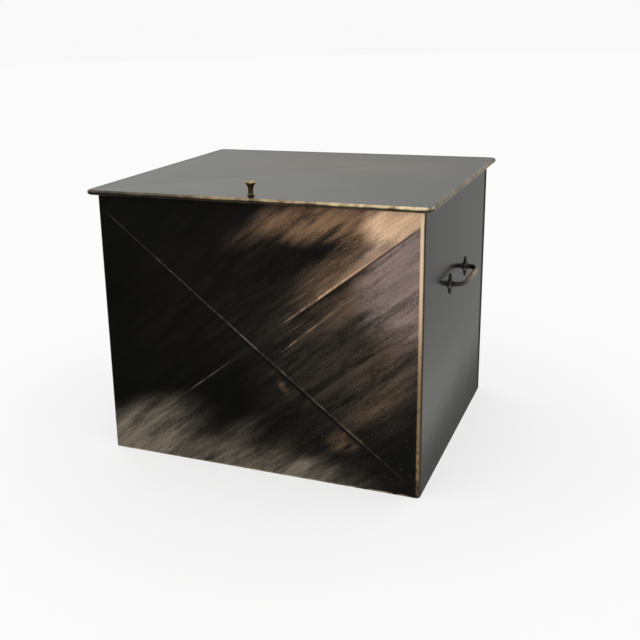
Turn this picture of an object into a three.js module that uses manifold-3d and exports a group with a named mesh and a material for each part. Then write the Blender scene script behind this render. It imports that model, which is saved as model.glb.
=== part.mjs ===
// A lidded kindling box in folded sheet metal: four walls, a base tray, a lid on two butt hinges,
// a knob and a pair of bow handles.
// Millimetres. X runs along the width, Y to the back and Z up, from the middle of the underside.
import * as THREE from "three";
import { mergeVertices } from "three/addons/utils/BufferGeometryUtils.js";
import Module from "manifold-3d";

const wasm = await Module();
wasm.setup();

// --- Driving dimensions -------------------------------------------------------------------------

// The box
const boxWidth = 400;
const boxDepth = 352;
const wallHeight = 335;
const sheet = 1; // thickness of every panel
const fitGap = 0.3; // left between pieces that touch

// The upright corners: the front and back panels turn the corner and lap inside the side panels
const cornerBend = 4.5; // outer radius
const bendLand = 0.4; // flat between the bend and the joggle
const joggle = 1; // length over which the lap steps inwards; the side panel starts where it ends
const lapLength = 12;

// The folded top edge of each wall
const hemHeight = 10;
const hemGap = 0.4;

// The creases of the cross-broken panels
const creaseRise = 2.5; // how far the middle of the panel stands proud
const ridgeWidth = 3.2;
const frontRidgeHeight = 0.7;
const lidRidgeHeight = 0.35;
const frontCreaseSide = 16; // from the crease's end to the panel's upright edge
const frontCreaseBottom = 17;
const frontCreaseTop = 31;
const lidCreaseInset = 10;

// The base tray
const trayFlange = 15;
const trayBend = 2;

// The lid
const lidOverhang = 10.5;
const lidCorner = 9; // radius of the lid's corners in plan
const rimRadius = 3.1; // outer radius of the half-round rim
const rimReturn = 5; // from the lid's edge to the inner face of the rim
const rimSlit = 0.5; // between the rim's turned-in edge and the lid's underside

// The knob
const knobInset = 17; // from the lid's front edge to the knob's axis
const knobHeight = 16.5;
const knobHeadRadius = 6.6;
const knobStemRadius = 3;
const knobFootRadius = 4.4;
const knobScrewRadius = 1.5;
const knobScrewDepth = 9; // how far the screw reaches into the knob
const knobWasherRadius = 3.4;
const knobWasherThickness = 0.6;
const screwHeadRadius = 2.7;
const screwHeadHeight = 1.9;

// The hinges
const hingeSpread = 220; // between the middles of the two hinges
const hingeWidth = 50;
const knuckleCount = 5;
const knuckleGap = 0.4; // between neighbouring knuckles, and between a knuckle and a leaf or the rim
const leafThickness = 1;
const bodyLeafHeight = 22;
const hingePinRadius = 1.05;
const hingePinGap = 0.3;
const rivetEdge = 8; // from a leaf's end to its nearest rivet
const bodyRivetDrop = 14; // below the hinge's axis
const bodyRivetRadius = 1.6;
const bodyRivetHead = 3;
const lidRivetRadius = 1;
const rivetHeadHeight = 0.9;

// The handles
const handleHeight = 217; // from the floor to the middle of the grip
const handleSpan = 87; // between the middles of the two star plates
const handleReach = 17; // from the side panel to the middle of the grip
const gripRadius = 3;
const gripBend = 12; // how far each end curves outwards
const gripBendRun = 24; // and how far it runs towards the middle on the way
const starRadius = 13;
const starWaist = 6.2; // from the star's middle to the hollow between two points
const starThickness = 2;
const bossRadius = 5.2;
const bossHeight = 1.6;
const studRadius = 2;
const studEnd = 1.2; // thread left past the nut
const washerRadius = 5;
const washerThickness = 0.8;
const nutRadius = 4.1; // to the corners
const nutThickness = 3.2;

// --- Sizes that follow --------------------------------------------------------------------------

const hemDepth = 2 * sheet + hemGap;
const lapStep = sheet + fitGap;
const bendEnd = cornerBend + bendLand;
const lapStart = bendEnd + joggle;
const lapEnd = lapStart + lapLength;
const sidePanelLength = boxDepth - 2 * lapStart;
const lidWidth = boxWidth + 2 * lidOverhang;
const lidDepth = boxDepth + 2 * lidOverhang;
const lidTop = wallHeight + fitGap + sheet;
const rimHeight = 2 * rimRadius;
const knuckleRadius = (lidOverhang - rimReturn - 2 * fitGap) / 2;
const knucklePitch = hingeWidth / knuckleCount;
const rivetSpread = hingeWidth / 2 - rivetEdge; // between neighbouring rivets of a leaf
const hingeY = boxDepth / 2 + fitGap + knuckleRadius;
const hingeZ = lidTop - rimHeight - knuckleGap - knuckleRadius;
const lidLeafTop = lidTop - sheet - fitGap - hingeZ;
const lidRivetRise = lidTop - rimRadius - hingeZ; // level with the middle of the rolled rim
const lidRivetHead = rimRadius - sheet - fitGap;
const gripShoulder = fitGap + starThickness + bossHeight + fitGap;
const washerFace = -sheet - fitGap;
const nutFace = washerFace - washerThickness - fitGap;

// --- Finishes -----------------------------------------------------------------------------------

const finishes = {
  front: new THREE.MeshStandardMaterial({ color: 0x2b211a, roughness: 0.35, metalness: 0.8 }),
  wall: new THREE.MeshStandardMaterial({ color: 0x3a3a37, roughness: 0.25, metalness: 0.7 }),
  lid: new THREE.MeshStandardMaterial({ color: 0x4a4843, roughness: 0.25, metalness: 0.7 }),
  base: new THREE.MeshStandardMaterial({ color: 0x1c1b1a, roughness: 0.6, metalness: 0.5 }),
  brass: new THREE.MeshStandardMaterial({ color: 0x8a6b3d, roughness: 0.3, metalness: 0.9 }),
  iron: new THREE.MeshStandardMaterial({ color: 0x17150f, roughness: 0.4, metalness: 0.8 }),
  steel: new THREE.MeshStandardMaterial({ color: 0x8d8f90, roughness: 0.35, metalness: 0.9 }),
};

// --- Solids -------------------------------------------------------------------------------------

function toSolid(geometry) {
  const bare = geometry.clone();
  bare.deleteAttribute("normal");
  bare.deleteAttribute("uv");
  const merged = mergeVertices(bare, 1e-4);
  const vertProperties = new Float32Array(merged.getAttribute("position").array);
  const triVerts = new Uint32Array(merged.index.array);
  return new wasm.Manifold(new wasm.Mesh({ numProp: 3, vertProperties, triVerts }));
}

function toGeometry(solid) {
  const { vertProperties, triVerts, numProp } = solid.getMesh();
  const positions = new Float32Array((vertProperties.length / numProp) * 3);
  for (let i = 0; i < positions.length / 3; i++) {
    for (let k = 0; k < 3; k++) positions[3 * i + k] = vertProperties[numProp * i + k];
  }
  const indexed = new THREE.BufferGeometry();
  indexed.setAttribute("position", new THREE.BufferAttribute(positions, 3));
  indexed.setIndex(new THREE.BufferAttribute(new Uint32Array(triVerts), 1));
  const geometry = indexed.toNonIndexed();
  geometry.computeVertexNormals();
  return geometry;
}

function joined(solids) {
  return solids.reduce((whole, solid) => whole.add(solid));
}

function meshOf(name, geometry, finish) {
  const mesh = new THREE.Mesh(geometry, finish);
  mesh.name = name;
  return mesh;
}

// A shape drawn in Y and Z, extruded along X from one place to another.
function alongX(shape, from, to) {
  const geometry = new THREE.ExtrudeGeometry(shape, { depth: to - from, bevelEnabled: false });
  const turn = new THREE.Matrix4().makeBasis(
    new THREE.Vector3(0, 1, 0),
    new THREE.Vector3(0, 0, 1),
    new THREE.Vector3(1, 0, 0),
  );
  return geometry.applyMatrix4(turn).translate(from, 0, 0);
}

function rectangle(left, bottom, right, top) {
  return new THREE.Shape([
    new THREE.Vector2(left, bottom),
    new THREE.Vector2(right, bottom),
    new THREE.Vector2(right, top),
    new THREE.Vector2(left, top),
  ]);
}

// Points of an arc about (x, y), both ends included; the angles are in degrees.
function arc(x, y, radius, fromDegrees, toDegrees, steps) {
  const points = [];
  for (let i = 0; i <= steps; i++) {
    const angle = THREE.MathUtils.degToRad(fromDegrees + ((toDegrees - fromDegrees) * i) / steps);
    points.push(new THREE.Vector2(x + radius * Math.cos(angle), y + radius * Math.sin(angle)));
  }
  return points;
}

// The section of a folded sheet: a line along one face, and the other face to the line's left.
function foldedSheet(line, thickness) {
  const other = line.map((point, i) => {
    const before = point.clone().sub(line[Math.max(i - 1, 0)]).normalize();
    const after = line[Math.min(i + 1, line.length - 1)].clone().sub(point).normalize();
    if (i === 0) before.copy(after);
    if (i === line.length - 1) after.copy(before);
    const left = new THREE.Vector2(-before.y - after.y, before.x + after.x).normalize();
    const reach = thickness / (left.x * -before.y + left.y * before.x);
    return point.clone().addScaledVector(left, reach);
  });
  return new THREE.Shape([...line, ...other.reverse()]);
}

// A hole or a pin along Y, from the face at one place to the face at another.
function cylinderAlongY(radius, x, z, from, to, sides = 16) {
  const cylinder = new THREE.CylinderGeometry(radius, radius, to - from, sides);
  return toSolid(cylinder.translate(x, (from + to) / 2, z));
}

// --- Cross-broken panels ------------------------------------------------------------------------

// A low pyramid on a plinth that sinks into the sheet. Its field lies in X and Y, and it rises to +Z.
function creasedField(width, height, root) {
  const x = width / 2;
  const y = height / 2;
  const corners = [[-x, -y], [x, -y], [x, y], [-x, y]];
  const positions = [];
  for (const z of [-root, 0]) {
    for (const corner of corners) positions.push(...corner, z);
  }
  positions.push(0, 0, creaseRise);
  const faces = [0, 2, 1, 0, 3, 2];
  for (let i = 0; i < 4; i++) {
    const j = (i + 1) % 4;
    faces.push(i, j, 4 + j, i, 4 + j, 4 + i, 4 + i, 4 + j, 8);
  }
  const geometry = new THREE.BufferGeometry();
  geometry.setAttribute("position", new THREE.Float32BufferAttribute(positions, 3));
  geometry.setIndex(faces);
  return geometry;
}

// One half of a crease: a narrow ridge that climbs from a corner of the field to its middle.
function creaseRidge(x, y, root, ridgeHeight) {
  const section = new THREE.Shape([
    new THREE.Vector2(-ridgeWidth / 2, -root),
    new THREE.Vector2(ridgeWidth / 2, -root),
    new THREE.Vector2(0, ridgeHeight),
  ]);
  const run = new THREE.Vector3(-x, -y, creaseRise);
  const along = run.clone().normalize();
  const side = new THREE.Vector3(0, 0, 1).cross(along).normalize();
  const up = along.clone().cross(side);
  const geometry = new THREE.ExtrudeGeometry(section, { depth: run.length(), bevelEnabled: false });
  return geometry.applyMatrix4(new THREE.Matrix4().makeBasis(side, up, along)).translate(x, y, 0);
}

function crossBreak(width, height, ridgeHeight) {
  const root = 0.4 * sheet;
  const ridges = [];
  for (const x of [-width / 2, width / 2]) {
    for (const y of [-height / 2, height / 2]) {
      ridges.push(toSolid(creaseRidge(x, y, root, ridgeHeight)));
    }
  }
  return joined([toSolid(creasedField(width, height, root)), ...ridges]);
}

// --- Walls --------------------------------------------------------------------------------------

// A wall is drawn with its outer face on Y = 0, its middle on X = 0 and the inside of the box at +Y.

// The strip that is folded over at the top of a wall.
function hem(length) {
  const bend = hemDepth / 2;
  const line = [
    new THREE.Vector2(hemDepth, wallHeight - hemHeight),
    ...arc(bend, wallHeight - bend, bend, 0, 180, 8),
    new THREE.Vector2(0, wallHeight - hemHeight),
  ];
  return toSolid(alongX(foldedSheet(line, sheet), -length / 2, length / 2));
}

// The plan of a front or back panel: flat, round both corners, and lapped inside the side panels.
function corneredPlan() {
  const end = boxWidth / 2;
  const lapX = end - lapStep;
  const line = [
    new THREE.Vector2(-lapX, lapEnd),
    new THREE.Vector2(-lapX, lapStart),
    new THREE.Vector2(-end, bendEnd),
    ...arc(-end + cornerBend, cornerBend, cornerBend, 180, 270, 8),
    ...arc(end - cornerBend, cornerBend, cornerBend, 270, 360, 8),
    new THREE.Vector2(end, bendEnd),
    new THREE.Vector2(lapX, lapStart),
    new THREE.Vector2(lapX, lapEnd),
  ];
  return foldedSheet(line, sheet);
}

function corneredPanel() {
  const depth = wallHeight - hemDepth / 2;
  const sheetPart = new THREE.ExtrudeGeometry(corneredPlan(), { depth, bevelEnabled: false });
  return toSolid(sheetPart).add(hem(boxWidth - 2 * cornerBend));
}

function frontPanel() {
  const width = boxWidth - 2 * frontCreaseSide;
  const height = wallHeight - frontCreaseTop - frontCreaseBottom;
  const upright = crossBreak(width, height, frontRidgeHeight).rotate([90, 0, 0]);
  const field = upright.translate([0, 0, frontCreaseBottom + height / 2]);
  return corneredPanel().add(field).subtract(field.translate([0, sheet, 0]));
}

function backPanel() {
  const holes = [];
  for (const x of rivetPlaces) {
    const z = hingeZ - bodyRivetDrop;
    holes.push(cylinderAlongY(bodyRivetRadius + fitGap, x, z, -sheet, 2 * sheet));
  }
  return corneredPanel().subtract(joined(holes));
}

function sidePanel() {
  const flat = alongX(
    rectangle(0, 0, sheet, wallHeight - hemDepth / 2),
    -sidePanelLength / 2,
    sidePanelLength / 2,
  );
  const holes = [-handleSpan / 2, handleSpan / 2].map((x) =>
    cylinderAlongY(studRadius + fitGap, x, handleHeight, -sheet, 2 * sheet),
  );
  const hemLength = boxDepth - 2 * (lapEnd + fitGap);
  return toSolid(flat).add(hem(hemLength)).subtract(joined(holes));
}

// --- Base tray ----------------------------------------------------------------------------------

// The section of a tray that is as wide as given, outside its flanges, with its underside on Z = 0.
function trayPlan(width) {
  const end = width / 2;
  return foldedSheet(
    [
      new THREE.Vector2(-end, trayFlange),
      ...arc(-end + trayBend, trayBend, trayBend, 180, 270, 5),
      ...arc(end - trayBend, trayBend, trayBend, 270, 360, 5),
      new THREE.Vector2(end, trayFlange),
    ],
    sheet,
  );
}

// The side flanges stand between the laps, and the front and back flanges between the walls.
function baseTray() {
  const innerDepth = boxDepth - 2 * (sheet + fitGap);
  const lapInside = boxWidth - 2 * (lapStep + sheet + fitGap + trayBend);
  const frontToBack = alongX(trayPlan(innerDepth), -lapInside / 2, lapInside / 2);
  const sideWidth = boxWidth - 2 * (sheet + fitGap);
  const sideLength = boxDepth - 2 * (lapEnd + fitGap);
  const sideToSide = alongX(trayPlan(sideWidth), -sideLength / 2, sideLength / 2);
  return toSolid(frontToBack).add(toSolid(sideToSide.rotateZ(Math.PI / 2)));
}

// --- Lid ----------------------------------------------------------------------------------------

// The lid is drawn with its flat top on Z = 0. Each ring is a rounded rectangle at an inset from its edge.
function lidRing(inset, z) {
  const radius = Math.max(lidCorner - inset, 0.4);
  const x = lidWidth / 2 - inset - radius;
  const y = lidDepth / 2 - inset - radius;
  const corners = [[x, y, 0], [-x, y, 90], [-x, -y, 180], [x, -y, 270]];
  const points = corners.flatMap(([cx, cy, start]) => arc(cx, cy, radius, start, start + 90, 6));
  return points.map((point) => [point.x, point.y, z]);
}

// Half of the sheet's section at the rim: over the top, round the half-round, up inside it and back.
function rimRings() {
  const rounding = arc(rimRadius, -rimRadius, rimRadius, 90, 270, 10);
  const hollow = rimRadius - sheet;
  const hookAngle = 180 + THREE.MathUtils.radToDeg(Math.acos((rimRadius - rimReturn + sheet) / hollow));
  const inside = arc(rimRadius, -rimRadius, hollow, hookAngle, 90, 9);
  const line = [
    ...rounding,
    new THREE.Vector2(rimReturn, -rimHeight),
    new THREE.Vector2(rimReturn, -sheet - rimSlit),
    new THREE.Vector2(rimReturn - sheet, -sheet - rimSlit),
    ...inside,
  ];
  return line.map((point) => lidRing(point.x, point.y));
}

// A closed skin over the rings, with a point in the middle at the top and one underneath.
function skinOver(rings, topZ, bottomZ) {
  const size = rings[0].length;
  const positions = rings.flat(2);
  positions.push(0, 0, topZ, 0, 0, bottomZ);
  const top = rings.length * size;
  const bottom = top + 1;
  const faces = [];
  for (let j = 0; j < size; j++) {
    const next = (j + 1) % size;
    faces.push(top, j, next);
    for (let i = 0; i + 1 < rings.length; i++) {
      const here = i * size;
      const out = here + size;
      faces.push(here + j, out + j, out + next, here + j, out + next, here + next);
    }
    const last = (rings.length - 1) * size;
    faces.push(bottom, last + next, last + j);
  }
  const geometry = new THREE.BufferGeometry();
  geometry.setAttribute("position", new THREE.Float32BufferAttribute(positions, 3));
  geometry.setIndex(faces);
  return geometry;
}

function lidPanel() {
  const pan = toSolid(skinOver(rimRings(), 0, -sheet));
  const field = crossBreak(
    lidWidth - 2 * lidCreaseInset,
    lidDepth - 2 * lidCreaseInset,
    lidRidgeHeight,
  );
  const knobHole = new THREE.CylinderGeometry(
    knobScrewRadius + fitGap,
    knobScrewRadius + fitGap,
    4 * sheet,
    16,
  );
  knobHole.rotateX(Math.PI / 2).translate(0, knobInset - lidDepth / 2, 0);
  const cuts = [field.translate([0, 0, -sheet]), toSolid(knobHole)];
  const rivetFace = lidDepth / 2 - rimReturn;
  for (const x of rivetPlaces) {
    const z = hingeZ + lidRivetRise - lidTop;
    const radius = lidRivetRadius + fitGap;
    cuts.push(cylinderAlongY(radius, x, z, rivetFace - sheet, rivetFace + 1.5 * sheet, 12));
  }
  return pan.add(field).subtract(joined(cuts));
}

// --- Knob ---------------------------------------------------------------------------------------

// Turned pieces: a profile of radius and height, revolved about Z.
function turned(profile, sides) {
  const points = profile.map(([radius, z]) => new THREE.Vector2(radius, z));
  return new THREE.LatheGeometry(points, sides).rotateX(Math.PI / 2);
}

function knobGeometry() {
  const bore = knobScrewRadius + fitGap;
  const lip = knobHeight - 1.6;
  return turned(
    [
      [0, knobScrewDepth],
      [bore, knobScrewDepth],
      [bore, 0],
      [knobFootRadius, 0],
      [knobFootRadius, 0.8],
      [knobStemRadius + 0.5, 1.8],
      [knobStemRadius, 3.4],
      [knobStemRadius, 8],
      [knobStemRadius + 0.7, 10.2],
      [knobHeadRadius - 1.7, 12.6],
      [knobHeadRadius, lip - 0.9],
      [knobHeadRadius, lip],
      [knobHeadRadius - 0.6, lip + 0.7],
      [knobHeadRadius - 3, knobHeight - 0.2],
      [0, knobHeight],
    ],
    24,
  );
}

function knobWasher() {
  const bore = knobScrewRadius + fitGap;
  return turned(
    [
      [bore, -knobWasherThickness],
      [knobWasherRadius, -knobWasherThickness],
      [knobWasherRadius, 0],
      [bore, 0],
      [bore, -knobWasherThickness],
    ],
    20,
  );
}

// The screw stands on its head's upper face.
function knobScrew(grip) {
  return turned(
    [
      [0, -screwHeadHeight],
      [screwHeadRadius - 0.7, -screwHeadHeight],
      [screwHeadRadius, -screwHeadHeight + 0.7],
      [screwHeadRadius, 0],
      [knobScrewRadius, 0],
      [knobScrewRadius, grip],
      [0, grip],
    ],
    16,
  );
}

function knobPieces() {
  const group = new THREE.Group();
  group.position.set(0, knobInset - lidDepth / 2, 0);
  const knob = meshOf("knob", knobGeometry(), finishes.brass);
  knob.position.z = fitGap;
  const washer = meshOf("knob_washer", knobWasher(), finishes.steel);
  washer.position.z = -sheet - fitGap;
  const screwSeat = -sheet - knobWasherThickness - 2 * fitGap;
  const screw = meshOf("knob_screw", knobScrew(knobScrewDepth - screwSeat), finishes.steel);
  screw.position.z = screwSeat;
  group.add(knob, washer, screw);
  return group;
}

// --- Hinges -------------------------------------------------------------------------------------

// A hinge is drawn about its axis, which lies along X through the group's origin.
const hingePlaces = [
  { side: "left", x: -hingeSpread / 2 },
  { side: "right", x: hingeSpread / 2 },
];

// Along a leaf, from its middle.
const leafRivets = [-rivetSpread, 0, rivetSpread];

// Along the box, from its middle.
const rivetPlaces = hingePlaces.flatMap(({ x }) => leafRivets.map((along) => x + along));

// A leaf's plate with its knuckles: the even ones on the body's leaf, the odd ones on the lid's.
function leaf(plate, plateFace, parity, edge) {
  const parts = [plate];
  const bore = cylinderAlongX(hingePinRadius + hingePinGap, -hingeWidth, hingeWidth);
  for (let i = parity; i < knuckleCount; i += 2) {
    const from = -hingeWidth / 2 + i * knucklePitch + knuckleGap / 2;
    const to = from + knucklePitch - knuckleGap;
    parts.push(cylinderAlongX(knuckleRadius, from, to));
    const bottom = Math.min(0, edge);
    const top = Math.max(0, edge);
    const tab = rectangle(plateFace, bottom, plateFace + leafThickness, top);
    parts.push(toSolid(alongX(tab, from, to)));
  }
  return joined(parts).subtract(bore);
}

function cylinderAlongX(radius, from, to) {
  const cylinder = new THREE.CylinderGeometry(radius, radius, to - from, 16);
  return toSolid(cylinder.rotateZ(Math.PI / 2).translate((from + to) / 2, 0, 0));
}

function bodyLeaf() {
  const face = -knuckleRadius;
  const edge = -knuckleRadius - knuckleGap;
  const section = rectangle(face, -bodyLeafHeight, face + leafThickness, edge);
  const plate = toSolid(alongX(section, -hingeWidth / 2, hingeWidth / 2));
  const holes = leafRivets.map((x) =>
    cylinderAlongY(bodyRivetRadius + fitGap, x, -bodyRivetDrop, face - 1, face + leafThickness + 1),
  );
  return leaf(plate, face, 0, edge - 1).subtract(joined(holes));
}

function lidLeaf() {
  const face = knuckleRadius - leafThickness;
  const edge = knuckleRadius + knuckleGap;
  const section = rectangle(face, edge, face + leafThickness, lidLeafTop);
  const plate = toSolid(alongX(section, -hingeWidth / 2, hingeWidth / 2));
  const holes = leafRivets.map((x) =>
    cylinderAlongY(lidRivetRadius + fitGap, x, lidRivetRise, face - 1, face + leafThickness + 1, 12),
  );
  return leaf(plate, face, 1, edge + 1).subtract(joined(holes));
}

function hingePin() {
  const half = hingeWidth / 2;
  return cylinderAlongX(hingePinRadius, -half, half);
}

// A rivet along Y: its formed tail below Y = 0 and its domed head past the grip.
function rivet(radius, head, grip) {
  const tail = head - 0.3;
  return new THREE.LatheGeometry(
    [
      new THREE.Vector2(0, -rivetHeadHeight),
      new THREE.Vector2(0.6 * tail, -rivetHeadHeight),
      new THREE.Vector2(tail, 0),
      new THREE.Vector2(radius, 0),
      new THREE.Vector2(radius, grip),
      new THREE.Vector2(head, grip),
      new THREE.Vector2(0.75 * head, grip + 0.7 * rivetHeadHeight),
      new THREE.Vector2(0, grip + rivetHeadHeight),
    ],
    12,
  );
}

// From inside the back panel, through it and the body's leaf.
function bodyRivet() {
  const start = -knuckleRadius - 2 * fitGap - sheet;
  const grip = sheet + leafThickness + 3 * fitGap;
  return rivet(bodyRivetRadius, bodyRivetHead, grip).translate(0, start, -bodyRivetDrop);
}

// Its head faces the back panel, and its tail is inside the hollow rim.
function lidRivet() {
  const start = knuckleRadius + 2 * fitGap + sheet;
  const grip = sheet + leafThickness + 3 * fitGap;
  const turnedRound = rivet(lidRivetRadius, lidRivetHead, grip).rotateZ(Math.PI);
  return turnedRound.translate(0, start, lidRivetRise);
}

// One half of a hinge, about its axis: a leaf and its row of rivets.
function hingeHalf(names, leafSolid, rivetGeometry) {
  const group = new THREE.Group();
  group.add(meshOf(names + "_leaf", toGeometry(leafSolid), finishes.iron));
  leafRivets.forEach((along, i) => {
    const mesh = meshOf(`${names}_rivet_${i + 1}`, rivetGeometry, finishes.brass);
    mesh.position.x = along;
    group.add(mesh);
  });
  return group;
}

// --- Handles ------------------------------------------------------------------------------------

// A handle is drawn with the side panel's outer face on X = 0, and reaches out to +X.
function gripPath() {
  const half = handleSpan / 2;
  const legEnd = handleReach - gripBend;
  const place = (x, y) => new THREE.Vector3(x, y, 0);
  const path = new THREE.CurvePath();
  const corner = (from, through, to) => path.add(new THREE.QuadraticBezierCurve3(from, through, to));
  path.add(new THREE.LineCurve3(place(gripShoulder, -half), place(legEnd, -half)));
  corner(place(legEnd, -half), place(handleReach, -half), place(handleReach, gripBendRun - half));
  path.add(
    new THREE.LineCurve3(place(handleReach, gripBendRun - half), place(handleReach, half - gripBendRun)),
  );
  corner(place(handleReach, half - gripBendRun), place(handleReach, half), place(legEnd, half));
  path.add(new THREE.LineCurve3(place(legEnd, half), place(gripShoulder, half)));
  return path;
}

function handleGrip() {
  const section = new THREE.Shape(arc(0, 0, gripRadius, 0, 330, 11));
  const bar = new THREE.ExtrudeGeometry(section, {
    steps: 36,
    extrudePath: gripPath(),
    bevelEnabled: false,
  });
  const studTip = nutFace - nutThickness - studEnd;
  const studRoot = gripShoulder + gripRadius;
  const studs = [-handleSpan / 2, handleSpan / 2].map((y) => {
    const stud = new THREE.CylinderGeometry(studRadius, studRadius, studRoot - studTip, 12);
    return toSolid(stud.rotateZ(Math.PI / 2).translate((studRoot + studTip) / 2, y, 0));
  });
  return joined([toSolid(bar), ...studs]);
}

// A four-pointed star whose sides are hollowed between the points, with a round boss in the middle.
function starPlate() {
  const outline = new THREE.Shape();
  const pull = 2 * starWaist - starRadius * Math.SQRT1_2; // puts the middle of each side at the waist
  outline.moveTo(starRadius, 0);
  for (let i = 0; i < 4; i++) {
    const hollow = ((i + 0.5) * Math.PI) / 2;
    const next = ((i + 1) * Math.PI) / 2;
    outline.quadraticCurveTo(
      pull * Math.cos(hollow),
      pull * Math.sin(hollow),
      starRadius * Math.cos(next),
      starRadius * Math.sin(next),
    );
  }
  const plate = new THREE.ExtrudeGeometry(outline, {
    depth: starThickness,
    bevelEnabled: false,
    curveSegments: 6,
  });
  const boss = new THREE.CylinderGeometry(bossRadius - 0.8, bossRadius, bossHeight + starThickness, 24);
  boss.rotateX(Math.PI / 2).translate(0, 0, (bossHeight + starThickness) / 2);
  const hole = new THREE.CylinderGeometry(studRadius + fitGap, studRadius + fitGap, 20, 16);
  const star = toSolid(plate).add(toSolid(boss)).subtract(toSolid(hole.rotateX(Math.PI / 2)));
  return star.rotate([0, 90, 0]);
}

// A ring or a hexagon with a hole for the stud, from X = 0 inwards.
function studRing(radius, thickness, sides) {
  const outer = new THREE.CylinderGeometry(radius, radius, thickness, sides);
  const hole = new THREE.CylinderGeometry(studRadius + fitGap, studRadius + fitGap, 3 * thickness, 16);
  const ring = toSolid(outer).subtract(toSolid(hole));
  return ring.rotate([0, 0, 90]).translate([-thickness / 2, 0, 0]);
}

// What holds one end of the grip: the star outside, and the washer and nut inside.
function handleEnd(names) {
  const star = meshOf(names + "_star", toGeometry(starPlate()), finishes.iron);
  star.position.x = fitGap;
  const washerRing = studRing(washerRadius, washerThickness, 20);
  const washer = meshOf(names + "_washer", toGeometry(washerRing), finishes.steel);
  washer.position.x = washerFace;
  const nut = meshOf(names + "_nut", toGeometry(studRing(nutRadius, nutThickness, 6)), finishes.steel);
  nut.position.x = nutFace;
  return [star, washer, nut];
}

function handle(side, facing) {
  const group = new THREE.Group();
  group.position.set((facing * boxWidth) / 2, 0, handleHeight);
  group.rotation.z = facing > 0 ? 0 : Math.PI;
  group.add(meshOf(side + "_handle_grip", toGeometry(handleGrip()), finishes.iron));
  for (const [place, toBack] of [["front", -1], ["rear", 1]]) {
    const end = new THREE.Group();
    end.position.y = (facing * toBack * handleSpan) / 2;
    end.add(...handleEnd(`${side}_handle_${place}`));
    group.add(end);
  }
  return group;
}

// --- Assembly -----------------------------------------------------------------------------------

function wall(name, solid, finish, x, y, turn) {
  const mesh = meshOf(name, toGeometry(solid), finish);
  mesh.position.set(x, y, 0);
  mesh.rotation.z = turn;
  return mesh;
}

function bodyGroup() {
  const group = new THREE.Group();
  group.add(
    wall("front_panel", frontPanel(), finishes.front, 0, -boxDepth / 2, 0),
    wall("back_panel", backPanel(), finishes.wall, 0, boxDepth / 2, Math.PI),
    wall("right_panel", sidePanel(), finishes.wall, boxWidth / 2, 0, Math.PI / 2),
    wall("left_panel", sidePanel(), finishes.wall, -boxWidth / 2, 0, -Math.PI / 2),
    meshOf("base_panel", toGeometry(baseTray()), finishes.base),
    handle("right", 1),
    handle("left", -1),
  );
  for (const { side, x } of hingePlaces) {
    const half = hingeHalf(side + "_hinge_body", bodyLeaf(), bodyRivet());
    half.add(meshOf(side + "_hinge_pin", toGeometry(hingePin()), finishes.steel));
    half.position.set(x, hingeY, hingeZ);
    group.add(half);
  }
  return group;
}

function lidGroup() {
  const group = new THREE.Group();
  group.position.z = lidTop;
  group.add(meshOf("lid_panel", toGeometry(lidPanel()), finishes.lid), knobPieces());
  for (const { side, x } of hingePlaces) {
    const half = hingeHalf(side + "_hinge_lid", lidLeaf(), lidRivet());
    half.position.set(x, hingeY, hingeZ - lidTop);
    group.add(half);
  }
  return group;
}

const kindlingBox = new THREE.Group();
kindlingBox.add(bodyGroup(), lidGroup());

export default kindlingBox;
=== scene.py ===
from math import atan2, cos, pi, radians, sin

import bmesh
import bpy
from mathutils import Matrix, Vector


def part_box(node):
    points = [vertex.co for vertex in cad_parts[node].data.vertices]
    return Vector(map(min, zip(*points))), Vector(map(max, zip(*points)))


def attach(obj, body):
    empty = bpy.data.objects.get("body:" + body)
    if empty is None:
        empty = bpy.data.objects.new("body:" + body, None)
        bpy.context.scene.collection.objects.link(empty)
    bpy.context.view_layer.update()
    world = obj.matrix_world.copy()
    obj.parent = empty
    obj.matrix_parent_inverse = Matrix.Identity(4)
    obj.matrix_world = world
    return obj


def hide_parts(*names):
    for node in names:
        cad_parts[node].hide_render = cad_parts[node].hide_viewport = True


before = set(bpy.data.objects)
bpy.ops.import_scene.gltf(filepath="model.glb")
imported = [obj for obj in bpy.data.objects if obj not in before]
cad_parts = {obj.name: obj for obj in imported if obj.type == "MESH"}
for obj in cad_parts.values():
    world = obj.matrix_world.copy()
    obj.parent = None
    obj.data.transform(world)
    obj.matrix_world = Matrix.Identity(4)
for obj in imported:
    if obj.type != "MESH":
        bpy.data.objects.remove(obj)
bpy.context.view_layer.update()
mm = 0.001
scene = bpy.context.scene
scene.view_settings.view_transform = "Standard"
print("frame loaded,", len(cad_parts), "nodes")

# Camera
camera = {
    "place": (0.422, -1.0923, 0.5218),
    "turn": (74.039, 1.489, 23.09),  # degrees
    "lens": 51.552,
    "shift": (0.0781, -0.0547),
}

cameraData = bpy.data.cameras.new("Camera")
cameraData.lens = camera["lens"]
cameraData.shift_x, cameraData.shift_y = camera["shift"]
cameraObject = bpy.data.objects.new("Camera", cameraData)
cameraObject.location = camera["place"]
cameraObject.rotation_euler = [radians(angle) for angle in camera["turn"]]
scene.collection.objects.link(cameraObject)
scene.camera = cameraObject


# Node tools
def feed(tree, socket, value):  # a link, or a plain value
    if isinstance(value, bpy.types.NodeSocket):
        tree.links.new(value, socket)
    else:
        socket.default_value = value


def add(tree, kind, **values):  # i0, i1, ... are inputs by number, a capital starts an input's name
    made = tree.nodes.new("ShaderNode" + kind)
    for key, value in values.items():
        if key[1:].isdigit():
            feed(tree, made.inputs[int(key[1:])], value)
        elif key[0].isupper():
            feed(tree, made.inputs[key.replace("_", " ")], value)
        else:
            setattr(made, key, value)
    return made


def calc(tree, operation, first, second=0.0, clamp=False):
    return add(tree, "Math", operation=operation, use_clamp=clamp, i0=first, i1=second).outputs[0]


def times(tree, first, second, clamp=False):
    return calc(tree, "MULTIPLY", first, second, clamp)


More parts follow.
